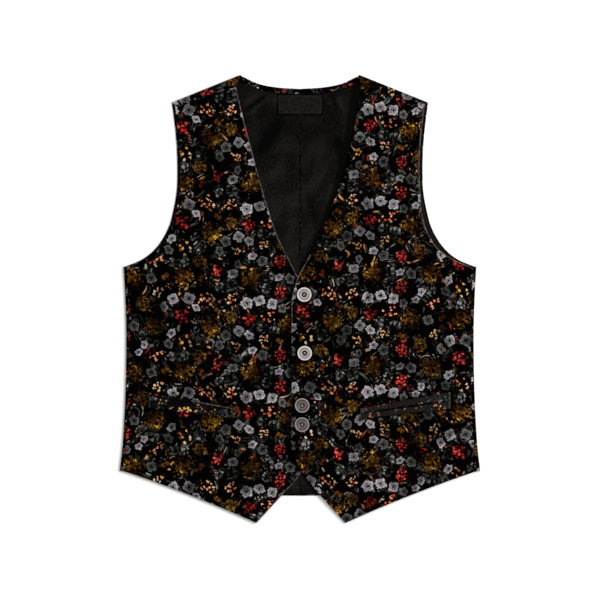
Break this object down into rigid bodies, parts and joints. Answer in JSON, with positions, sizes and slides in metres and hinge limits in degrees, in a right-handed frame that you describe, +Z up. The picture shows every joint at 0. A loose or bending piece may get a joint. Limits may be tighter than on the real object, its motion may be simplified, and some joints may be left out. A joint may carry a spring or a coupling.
{
  "type": "waistcoat",
  "caption": "Sleeveless V-neck waistcoat in dark printed cloth, buttoned and laid flat with its fronts up, with pointed front hems, welt pockets and a dark back lining.",
  "frame": {"origin": "on the surface that the waistcoat lies on, under the centre of its box: on the centre back line, half way from the front points to the neck", "axes": "+Z up from the surface, out of the fronts; +Y towards the neck; +X towards the wearer's left"},
  "size_m": [0.509, 0.6326, 0.0118],
  "materials": {
    "printed_cloth": "soft brushed cotton with a dense small flower print on black",
    "lining_cloth": "smooth dark twill lining",
    "label_cloth": "blank woven tape",
    "pearl_button": "pearl grey, turned rings, polished",
    "grey_button": "grey brown, turned rings, polished"
  },
  "bodies": {
    "root": {"front_left": "printed_cloth", "front_right": "printed_cloth", "back_left": "printed_cloth", "back_right": "printed_cloth", "back_lining_left": "lining_cloth", "back_lining_right": "lining_cloth", "back_neck_facing": "printed_cloth", "back_armhole_facing_left": "lining_cloth", "back_armhole_facing_right": "lining_cloth", "label": "label_cloth", "pocket_left_upper_welt": "printed_cloth", "pocket_left_lower_welt": "printed_cloth", "pocket_right_upper_welt": "printed_cloth", "pocket_right_lower_welt": "printed_cloth", "button_1": "pearl_button", "button_2": "pearl_button", "button_3": "grey_button", "button_4": "grey_button"}
  },
  "joints": []
}
